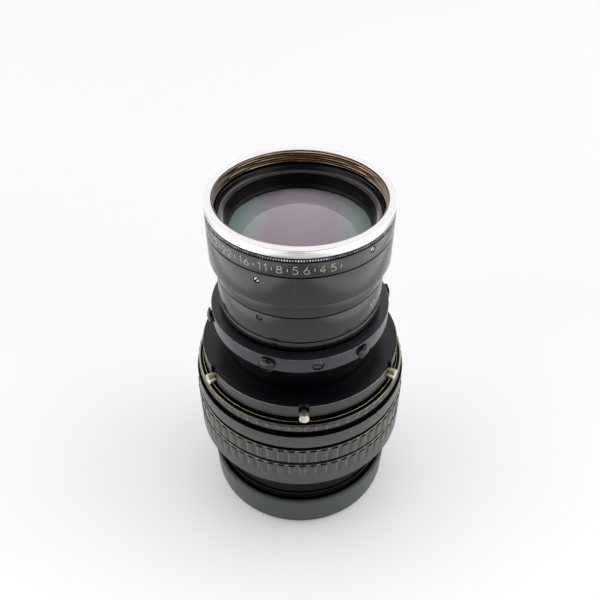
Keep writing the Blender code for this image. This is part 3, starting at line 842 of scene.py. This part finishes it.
def plain_ring(node, name, material, edge, wear=0.0, cutters=()):
    """Ring with rounded edges and, where there are cutters, holes."""
    ring = Turned(node)
    outline = [(ring.inner, ring.low), (ring.outer, ring.low, wear), (ring.outer, ring.high, wear),
               (ring.inner, ring.high)]
    thing = lathe(name, soften(outline, edge))
    if cutters:
        carve(thing, cutters)
    stand_for(thing, node, material)


# ---------------- carriage, flange and clamp

def make_carriage_tube(f):
    """Threaded brass tube, slotted for its two keys."""
    tube = Turned("carriage_tube")
    crest = tube.outer
    root = crest - 0.3 * MM
    low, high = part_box("guide_key_left")
    slot_width = (high.y - low.y) + 0.6 * MM
    slot_top = tube.high - 7.8 * MM
    slot = block("key_slot_cut", (4 * crest, slot_width, 2 * (slot_top - tube.low)),
                 Matrix.Translation((0, 0, tube.low)))
    pitch = 1.5 * MM
    outline = [(tube.inner, tube.low), (root, tube.low)]
    for i in range(int((tube.high - tube.low - 4 * MM) / pitch)):
        foot = tube.low + pitch * (i + 0.4)
        outline += [(root, foot), (crest, foot + 0.4 * pitch), (crest, foot + 0.6 * pitch)]
    outline += [(root, tube.high - 3 * MM), (root, tube.high), (tube.inner, tube.high)]
    thing = lathe("carriage_tube_threaded", outline, sides=128)
    carve(thing, [slot])
    stand_for(thing, "carriage_tube", f["brass"])


def make_pin_flange(f):
    """Flange with a notch and a stud hole for every pin."""
    flange = Turned("pin_flange")
    cutters = []
    for i in SPOKES:
        pin = Spoke("rim_pin_%d" % i)
        cutters.append(block("notch_cut_%d" % i, (20 * MM, 2 * (pin.radius + 0.3 * GAP), 20 * MM),
                             pin.place(pin.step - GAP + 10 * MM)))
        cutters.append(rod("stud_cut_%d" % i, pin, pin.shank + GAP, pin.start - GAP, pin.stop))
    low, high, rim, bore = flange.low, flange.high, flange.outer, flange.inner
    outline = [(bore, low), (rim, low, 0.3), (rim, high, 0.8), (bore, high)]
    thing = lathe("pin_flange_turned", soften(outline, 0.16 * MM, 4))
    carve(thing, cutters)
    stand_for(thing, "pin_flange", f["matt"], f["rim"], lambda c: off_axis(c) > rim - 0.25 * MM)


def make_rim_pins(f):
    """Stepped pins with a small dimple in the end."""
    for i in SPOKES:
        node = "rim_pin_%d" % i
        pin = Spoke(node)
        step = pin.step - pin.start
        reach = pin.stop - pin.start
        sunk = reach - 0.08 * MM
        outline = [(0, 0), (pin.shank, 0), (pin.shank, step), (pin.radius, step), (pin.radius, reach),
                   (0.5 * pin.radius, reach), (0.45 * pin.radius, sunk), (0, sunk)]
        thing = lathe("rim_pin_turned_%d" % i, soften(outline, 0.16 * MM), sides=SMALL_SIDES)
        thing.matrix_world = pin.place(pin.start)
        stand_for(thing, node, f["nickel"], f["pin_end"], lambda c: c.z > reach - 0.14 * MM)


def screw_cut(node, name):
    """Cutter for the hole round a small screw."""
    screw = Spoke(node)
    return rod(name, screw, screw.radius + GAP, screw.start - 1 * MM, screw.stop + 4 * MM)


def slotted(node, name, material, slot_shade, tilt, slot=SLOT_WIDTH):
    """A headless screw whose driver slot is painted dark as shade; tilt is the slot's turn about the screw.
    """
    screw = Spoke(node)
    length = screw.stop - screw.start
    outline = [(0, 0), (screw.radius, 0), (screw.radius, length, 0.8), (0, length)]
    thing = lathe(name, soften(outline, 0.12 * screw.radius), sides=SMALL_SIDES)
    thing.matrix_world = screw.place(screw.start)
    depth = 0.5 * screw.radius
    cutter = block(name + "_slot", (4 * screw.radius, slot * screw.radius, 2 * depth),
                   screw.place(screw.stop) @ Matrix.Rotation(math.radians(tilt), 4, "Z"))
    carve(thing, [cutter])

    # Slot faces take the dark groove finish as painted shade.
    def in_slot(centre):
        below = length - 1.1 * depth < centre.z < length - 0.1 * depth
        return below and off_axis(centre) < 0.93 * screw.radius

    stand_for(thing, node, material, slot_shade, in_slot)


def make_collar(f):
    """Collar tube with a notch for the end of every thumb screw."""
    collar = Turned("collar_tube")
    middle = Turned("clamp_ring").low + 5 * MM
    notches = []
    for i in SPOKES:
        screw = Spoke("thumb_screw_%d" % i)
        notches.append(block("collar_cut_%d" % i, (8 * MM, 4.4 * MM, 8 * MM),
                             Matrix.Translation((0, 0, middle - screw.height)) @ screw.place(collar.outer)))
    plain_ring("collar_tube", "collar_tube_turned", f["barrel"], 0.15 * MM, cutters=notches)


def make_clamp(f):
    """Clamp ring with its holes, and the set screws in it."""
    ring = Turned("clamp_ring")
    holes = []
    for i in SPOKES:
        screw = Spoke("thumb_screw_%d" % i)
        holes.append(rod("shank_cut_%d" % i, screw, screw.shank + GAP, ring.inner - 2 * MM,
                         ring.outer + 2 * MM))
    holes += [screw_cut("clamp_set_screw_%d" % i, "set_cut_%d" % i) for i in SET_SCREWS]
    outline = [(ring.inner, ring.low), (ring.outer, ring.low, 0.3), (ring.outer, ring.high, 0.5),
               (ring.inner, ring.high, 0.62)]
    thing = lathe("clamp_ring_turned", soften(outline, 0.32 * MM, 4))
    carve(thing, holes)
    stand_for(thing, "clamp_ring", f["clamp"])
    for i in SET_SCREWS:
        slotted("clamp_set_screw_%d" % i, "clamp_set_screw_slotted_%d" % i, f["set_screw"], f["groove"],
                44 + 24 * i, NARROW_SLOT)


def make_thumb_screws(f):
    """Screws with a grooved head and a domed end."""
    for i in SPOKES:
        screw = Spoke("thumb_screw_%d" % i)
        step = screw.step - screw.start
        reach = screw.stop - screw.start
        head = screw.radius
        groove = step + 0.45 * (reach - step)
        rim = head - 0.30 * MM
        dome = 0.37 * rim
        edge = reach - dome - 0.05 * MM
        outline = [(0, 0), (screw.shank, 0), (screw.shank, step), (head, step),
                   (head, groove - 0.16 * MM, 0.3), (head - 0.18 * MM, groove),
                   # The rim's wear also stands for a painted highlight on it.
                   (head, groove + 0.16 * MM, 0.3), (head, edge, 0.9),
                   (rim + 0.05 * MM, edge + 0.10 * MM, 0.5), (rim, edge)]
        crown = []
        for turn in span(0.98 * DOME_ANGLE, 0.0, 10):
            fall = dome * (1 - math.cos(turn)) / (1 - math.cos(DOME_ANGLE))
            crown.append((rim * math.sin(turn) / math.sin(DOME_ANGLE), reach - fall))
        thing = lathe("thumb_screw_turned_%d" % i, soften(outline, 0.10 * MM, 3) + crown, sides=SMALL_SIDES)
        thing.matrix_world = screw.place(screw.start)
        stand_for(thing, "thumb_screw_%d" % i, f["screw"])


# ---------------- lens barrels

def make_rear_barrel(f):
    rear = Turned("rear_barrel")
    z = rear.levels()
    outline = [(rear.inner, z[0])] + [(rear.at(level)[1], level) for level in z] + [(rear.inner, z[-1])]
    stand_for(lathe("rear_barrel_turned", soften(outline, 0.5 * MM, 5)), "rear_barrel", f["barrel"])


def make_aperture_ring(f):
    """Aperture ring, the screw that drives it and the scale sleeve in front of it."""
    hole = screw_cut("aperture_drive_screw", "drive_cut")
    plain_ring("aperture_ring", "aperture_ring_turned", f["barrel"], 0.22 * MM, 0.35, [hole])
    slotted("aperture_drive_screw", "aperture_drive_screw_slotted", f["drive"], f["groove"], 60)
    plain_ring("scale_sleeve", "scale_sleeve_turned", f["barrel"], 0.22 * MM, 0.35)


def make_front_barrel(f):
    front = Turned("front_barrel")
    z0, z1, z2 = front.levels()
    bore, wall, rim = front.inner, front.at(z2)[0], front.outer
    # The full wear on the lower outer corner is partly wear and partly a painted highlight line.
    outline = [(bore, z0), (rim, z0, 1.0), (rim, z2, 0.25), (wall, z2), (wall, z1), (bore, z1)]
    thing = lathe("front_barrel_turned", soften(outline, 0.25 * MM))
    carve(thing, [screw_cut("front_barrel_screw", "front_barrel_cut")])
    stand_for(thing, "front_barrel", f["barrel"])
    slotted("front_barrel_screw", "front_barrel_screw_slotted", f["steel"], f["groove"], -45, WIDE_SLOT)


def make_name_band(f):
    hole = screw_cut("name_band_screw", "name_band_cut")
    plain_ring("name_band", "name_band_turned", f["barrel"], 0.25 * MM, 0.3, [hole])
    slotted("name_band_screw", "name_band_screw_slotted", f["steel"], f["groove"], -35, WIDE_SLOT)


def make_knurled_ring(f):
    """Ring with straight knurls, pale on their crests from wear and a painted glint."""
    knurl = Turned("knurled_ring")
    rim, low, high = knurl.outer, knurl.low, knurl.high
    bevel = 0.12 * MM
    outline = [(knurl.inner, low), (rim - KNURL_DEPTH - bevel, low), (rim, low + bevel, 0.5),
               (rim, high - bevel, 0.5), (rim - KNURL_DEPTH - bevel, high), (knurl.inner, high)]

    def teeth(theta, radius, height):
        phase = np.mod(theta * KNURLS / (2 * math.pi), 1.0)
        return radius - KNURL_DEPTH * np.abs(2 * phase - 1) * (radius > rim - bevel)

    # Crests, where wear and a painted glint make the knurl pale.
    def crests(theta, radius, height):
        return (radius > rim - 0.3 * KNURL_DEPTH) * 1.0

    count = POINTS_PER_KNURL * KNURLS
    angles = span(0, 2 * math.pi * (1 - 1 / count), count)
    stand_for(lathe("knurled_ring_toothed", outline, angles, teeth, crests), "knurled_ring", f["knurl"])


def make_front_ring(f):
    """Plated ring; its inside is a bare brass thread that climbs as a true helix."""
    ring = Turned("front_ring")
    low, rim_low, high = ring.low, ring.levels()[1], ring.high
    rim = ring.outer
    skirt = ring.at(low)[1]
    root = ring.inner + THREAD_DEPTH
    thread_low, thread_high = low + 0.3 * MM, high - 0.22 * MM
    rows = int((thread_high - thread_low) / (THREAD_PITCH / 8))
    outline = soften([(root, low), (skirt, low), (skirt, rim_low), (rim, rim_low, 0.2), (rim, high, 1.0),
                      (root + 0.15 * MM, high, 0.3)], 0.22 * MM, 4)
    outline = outline[5:] + [(root, z) for z in span(high - 0.25 * MM, low + 0.25 * MM, rows)] + outline[:5]

    def off_crest(theta, height):
        """0 on a crest of the thread and 1 in the root."""
        phase = np.mod((height - low) / THREAD_PITCH - theta / (2 * math.pi), 1.0)
        return np.abs(2 * phase - 1)

    def helix(theta, radius, height):
        inside = (radius < root + 0.01 * MM) & (height < thread_high + 0.1 * MM)
        inside = inside & (height > thread_low - 0.1 * MM)
        ease = np.clip((thread_high - height) / (0.15 * MM), 0, 1)
        share = np.clip(1.25 - off_crest(theta, height) * 2.1, 0, 1) * inside * ease
        return radius - THREAD_DEPTH * share

    # Painted highlight on the thread's crests.
    def crest_highlight(theta, radius, height):
        return np.clip(2.2 - off_crest(theta, height) * 4.0, 0, 1) * (radius < root + 0.01 * MM)

    thing = lathe("front_ring_threaded", outline, shape=helix, rub_and_highlight=crest_highlight, sides=384)
    stand_for(thing, "front_ring", f["chrome"], f["thread"],
              lambda c: off_axis(c) < root + 0.1 * MM and c.z < high - 0.2 * MM)
    # The outer wall takes the darker copy of the chrome as painted shade.
    thing.data.materials.append(f["chrome_side"])
    for face in thing.data.polygons:
        if off_axis(face.center) > rim - 0.03 * MM:
            face.material_index = 2


def make_trim_ring(f):
    """Black ring that holds the glass: a plain wall, a flat ledge and a grooved cone against glare."""
    ring = Turned("front_trim_ring")
    z = ring.levels()
    low, cone_low, ledge, foot, high = z[0], z[1], z[-3], z[-2], z[-1]
    top_r = ring.at(high)[0]
    ledge_in, ledge_out = ring.at(ledge)
    cone_r = ring.at(cone_low)[0]
    outline = [(ring.inner, low), (ring.outer, low), (ring.outer, high), (top_r + 0.2 * MM, high),
               (top_r, high - 0.25 * MM), (ring.at(foot)[0], foot),
               (ledge_out - 0.1 * MM, ledge + 0.15 * MM), (ledge_out - 0.4 * MM, ledge, 0.2),
               (ledge_in, ledge, 0.9)]
    grooves = 7
    for i in range(grooves):
        share = (i + 0.5) / grooves
        height = ledge + (cone_low - ledge) * share
        radius = ledge_in + (cone_r - ledge_in) * share
        half = 0.28 * (ledge - cone_low) / grooves
        outline += [(radius + 0.02 * MM, height + half), (radius + 0.30 * MM, height),
                    (radius + 0.30 * MM, height - 0.6 * half), (radius - 0.02 * MM, height - half, 0.2)]
    outline += [(cone_r, cone_low)]

    def grey(centre):
        on_ledge = abs(centre.z - ledge) < 0.12 * MM
        return on_ledge and ledge_in - 0.05 * MM < off_axis(centre) < ledge_out

    stand_for(lathe("front_trim_ring_turned", outline), "front_trim_ring", f["inside"], f["ledge"], grey)


def make_band_numerals(f):
    """Numbers along the name band with a short line after each."""
    band = Turned("name_band")
    foot = (band.low + band.high) / 2 - DIGIT_HEIGHT / 2
    azimuth = FIRST_NUMBER
    marks = []
    for number in NUMBERS:
        strokes = text_strokes(number, DIGIT_HEIGHT)
        reach = max(abs(x) for line in strokes for x, y in line)
        half = math.degrees(reach / band.outer)
        marks.append((strokes, azimuth + half, foot))
        azimuth += 2 * half + NUMBER_GAP
        tick = text_strokes("|", 0.4 * DIGIT_HEIGHT)
        marks.append((tick, azimuth - NUMBER_GAP / 2, foot + 0.3 * DIGIT_HEIGHT))
    engrave("name_band_numerals", band.outer, "lens_carriage", marks, f["paint"])


def make_ring_numerals(f):
    """Small numbers at the back of the aperture ring, each over its line."""
    ring = Turned("aperture_ring")
    height = (ring.low + ring.high) / 2 - 0.2 * MM
    marks = []
    for number, azimuth in zip(reversed(NUMBERS), span(*RING_NUMBERS, len(NUMBERS))):
        marks.append((text_strokes(number, SMALL_DIGIT), azimuth, height))
        marks.append((text_strokes("|", 0.7 * SMALL_DIGIT), azimuth, height - 1.6 * MM))
    engrave("aperture_ring_numerals", ring.outer, "aperture_ring", marks, f["paint"])


# ---------------- glass and iris

def bowl(radius, edge, centre):
    """Points of a spherical face from its edge to the axis."""
    rise = centre - edge
    curve = (radius ** 2 + rise ** 2) / (2 * abs(rise))
    sign = math.copysign(1.0, rise)
    return [(r, centre - sign * (curve - math.sqrt(curve ** 2 - r ** 2))) for r in span(radius, 0.0, 20)]


def make_glass(f):
    """Ground lenses with spherical faces and a small bevel."""
    for node, material in (("front_element", "glass"), ("front_doublet", "inner_glass"),
                           ("rear_doublet", "inner_glass"), ("rear_element", "glass")):
        lens = Turned(node)
        rim = lens.heights[lens.radii > lens.outer - 0.05 * MM]
        axis = lens.heights[lens.radii < 0.05 * MM]
        under = bowl(lens.outer, rim.min(), axis.min())
        over = bowl(lens.outer - 0.25 * MM, rim.max(), axis.max())
        outline = under[::-1] + [(lens.outer, rim.max() - 0.2 * MM)] + over
        stand_for(lathe(node + "_ground", outline, sides=160), node, f[material])


def dress_the_rest(f):
    """Finishes for the pieces whose frame shape is kept."""
    finish_of = {"black_barrel": "inside", "matt_black": "matt", "focus_grip": "grip", "chrome": "chrome",
                 "brass": "brass", "nickel_pin": "nickel", "steel": "steel", "blade_steel": "blade",
                 "cap_plastic": "cap", "lens_glass": "inner_glass"}
    for name, node in NODES.items():
        if not node.material_slots:
            node.data.materials.append(None)
        for slot in node.material_slots:
            slot.link = "OBJECT"
            slot.material = f[finish_of[SLOT_OF[name]]]


# ---------------- surroundings

def make_floor():
    """A pale table that glows a little everywhere, more in front of the lens and most at its sides."""
    f = Finish("studio_table", Roughness=0.6, IOR=1.45, Specular_IOR_Level=0.2)
    x, y = f.axes()[:2]
    # Painted shade: the table is darker towards the viewer.
    near = f.ramp(y, -0.34, -0.08, 0.0, 1.0)
    cloud = f.noise(3.0, detail=2.0)
    pale = f.mix(cloud, rgb(0.905, 0.905, 0.915), rgb(0.915, 0.915, 0.922))
    beside = f.math("SUBTRACT", f.math("ABSOLUTE", x), f.times(y, 0.38))
    glow = f.plus(f.ramp(beside, 0.145, 0.175, EVEN_GLOW, SIDE_GLOW),
                  f.ramp(y, 0.10, -0.12, 0.0, FRONT_GLOW))
    f.set(Base_Color=f.mix(near, rgb(0.87, 0.87, 0.88), pale), Emission_Color=rgb(1.0, 1.0, 1.0),
          Emission_Strength=glow)
    mesh = bpy.data.meshes.new("studio_table")
    corners = [(i * TABLE_HALF, j * TABLE_HALF, 0) for i, j in ((-1, -1), (1, -1), (1, 1), (-1, 1))]
    mesh.from_pydata(corners, [], [(0, 1, 2, 3)])
    mesh.materials.append(f.material)
    table = put("studio_table", mesh)
    table.location.z = -TABLE_DROP


def make_world():
    """An even white tent with one dark opening, on the side of the viewer."""
    world = bpy.data.worlds.new("tent")
    world.use_nodes = True
    tree = world.node_tree
    back = tree.nodes["Background"]
    coordinates = tree.nodes.new("ShaderNodeTexCoord")
    towards = tree.nodes.new("ShaderNodeVectorMath")
    towards.operation = "DOT_PRODUCT"
    towards.inputs[1].default_value = OPENING_WAY
    tree.links.new(coordinates.outputs["Generated"], towards.inputs[0])
    opening = tree.nodes.new("ShaderNodeMapRange")
    opening.interpolation_type = "SMOOTHSTEP"
    for socket, value in (("From Min", 0.62), ("From Max", 0.90), ("To Min", TENT), ("To Max", OPENING)):
        opening.inputs[socket].default_value = value
    tree.links.new(towards.outputs["Value"], opening.inputs["Value"])
    tree.links.new(opening.outputs[0], back.inputs["Strength"])
    back.inputs["Color"].default_value = (0.99, 0.99, 1.0, 1.0)
    bpy.context.scene.world = world


def area_light(name, place, size, power):
    """A square soft light that points at the lens."""
    light = bpy.data.lights.new(name, "AREA")
    light.shape = "RECTANGLE"
    light.size = light.size_y = size
    light.energy = power
    lamp = put(name, light)
    lamp.location = place
    lamp.rotation_euler = (Vector((0.0, 0.0, 0.05)) - Vector(place)).to_track_quat("-Z", "Y").to_euler()


def make_lights():
    area_light("tent_right", (1.1, 0.2, 1.0), 0.9, 3.0)
    area_light("tent_left", (-1.1, 0.2, 0.7), 0.9, 1.5)


def make_camera():
    camera = bpy.data.cameras.new("camera")
    camera.lens = CAMERA_LENS
    camera.sensor_width = CAMERA_SENSOR
    camera.clip_start = 0.01
    holder = put("camera", camera)
    holder.location = CAMERA_PLACE
    holder.rotation_euler = (CAMERA_TILT, 0.0, 0.0)
    bpy.context.scene.camera = holder
    bpy.context.scene.view_settings.view_transform = "Standard"


def main():
    finishes = make_finishes()
    make_camera()
    for make in (make_cap, make_mount, make_fixed_barrel, make_focus_grip, make_focus_band, make_focus_front,
                 make_focus_sleeve, make_carriage_tube, make_pin_flange, make_rim_pins, make_collar,
                 make_clamp, make_thumb_screws, make_rear_barrel, make_aperture_ring, make_front_barrel,
                 make_name_band, make_knurled_ring, make_front_ring, make_trim_ring, make_band_numerals,
                 make_ring_numerals, make_glass, dress_the_rest):
        make(finishes)
    make_floor()
    make_world()
    make_lights()


main()
